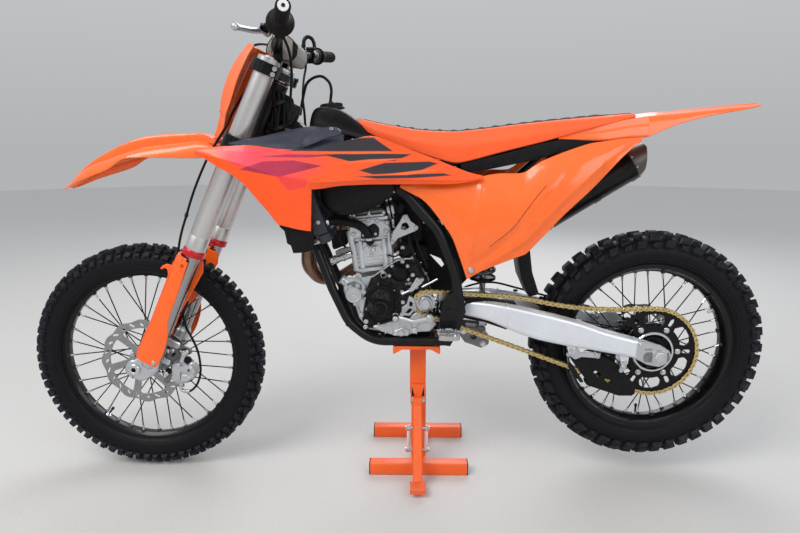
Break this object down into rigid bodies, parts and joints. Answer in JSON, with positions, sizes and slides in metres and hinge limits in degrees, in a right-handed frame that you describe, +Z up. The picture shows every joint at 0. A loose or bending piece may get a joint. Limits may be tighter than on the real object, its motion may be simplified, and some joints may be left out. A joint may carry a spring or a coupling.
{
  "type": "dirt bike on a lift stand",
  "caption": "Motocross bike with spoked wheels, upside-down fork, orange bodywork and chain drive, upright on a low pedal lift stand.",
  "frame": {"origin": "on the ground, under the middle of the whole outline", "axes": "+Z up, the bike's front towards -X, its left side towards -Y"},
  "size_m": [2.181, 0.8218, 1.3156],
  "materials": {
    "orange_plastic": "satin",
    "black_plastic": "matt",
    "black_frame": "satin powder coat",
    "black_anodised": "satin",
    "black_cover": "matt",
    "cast_alloy": "bead blasted",
    "satin_alloy": "satin",
    "radiator_alloy": "satin",
    "steel": "brushed",
    "spoke_black": "satin",
    "chain_gold": "plated",
    "header_steel": "heat tinted",
    "silencer_black": "matt",
    "seat_orange": "grained vinyl",
    "pad_grey": "woven cover on foam",
    "grip_rubber": "matt",
    "hose_rubber": "matt",
    "tyre": "matt",
    "stand_orange": "powder coat"
  },
  "bodies": {
    "chassis": {"main_frame": "black_frame", "frame_cradle": "black_frame", "subframe": "black_frame", "crankcase": "cast_alloy", "ignition_cover": "black_cover", "clutch_cover": "cast_alloy", "cylinder": "cast_alloy", "cylinder_head": "cast_alloy", "engine_head_stays": "satin_alloy", "drive_sprocket": "steel", "chain": "chain_gold", "swingarm": "satin_alloy", "rear_axle": "steel", "chain_guide": "black_plastic", "rear_caliper": "cast_alloy", "shock_absorber": "steel", "exhaust_header": "header_steel", "silencer": "silencer_black", "radiators": "radiator_alloy", "fuel_tank": "black_plastic", "seat": "seat_orange", "airbox": "black_plastic", "rear_fender": "orange_plastic", "side_panels": "orange_plastic", "radiator_shrouds": "orange_plastic", "tank_cowls": "black_plastic", "foot_pegs": "steel", "foot_levers": "steel", "stand_base": "stand_orange", "stand_column": "stand_orange", "stand_platform": "stand_orange", "stand_pedal_lever": "stand_orange", "vent_hose": "hose_rubber"},
    "steering": {"fork_outer_tubes": "satin_alloy", "fork_sliders": "satin_alloy", "fork_guards": "orange_plastic", "lower_triple_clamp": "black_anodised", "upper_triple_clamp": "black_anodised", "handlebar": "black_anodised", "bar_pad": "pad_grey", "grips": "grip_rubber", "hand_levers": "cast_alloy", "front_caliper": "cast_alloy", "front_axle": "steel", "front_fender": "orange_plastic", "front_number_plate": "orange_plastic", "front_brake_hose": "hose_rubber", "control_cables": "hose_rubber"},
    "front_wheel": {"front_rim": "black_anodised", "front_tyre": "tyre", "front_hub": "black_anodised", "front_spokes": "spoke_black", "front_disc": "steel"},
    "rear_wheel": {"rear_rim": "black_anodised", "rear_tyre": "tyre", "rear_hub": "black_anodised", "rear_spokes": "spoke_black", "rear_disc": "steel", "rear_sprocket": "black_anodised"}
  },
  "joints": [
    {"name": "steering_turn", "type": "hinge", "parent": "chassis", "child": "steering", "pos_m": [-0.405, 0, 0.969], "axis": [0.4115, 0, 0.9114], "range_deg": [-42, 42], "deforming": ["control_cables"]},
    {"name": "front_wheel_spin", "type": "hinge", "parent": "steering", "child": "front_wheel", "pos_m": [-0.7435, 0, 0.347], "axis": [0, -1, 0], "continuous": true},
    {"name": "rear_wheel_spin", "type": "hinge", "parent": "chassis", "child": "rear_wheel", "pos_m": [0.7465, 0, 0.391], "axis": [0, -1, 0], "continuous": true}
  ]
}
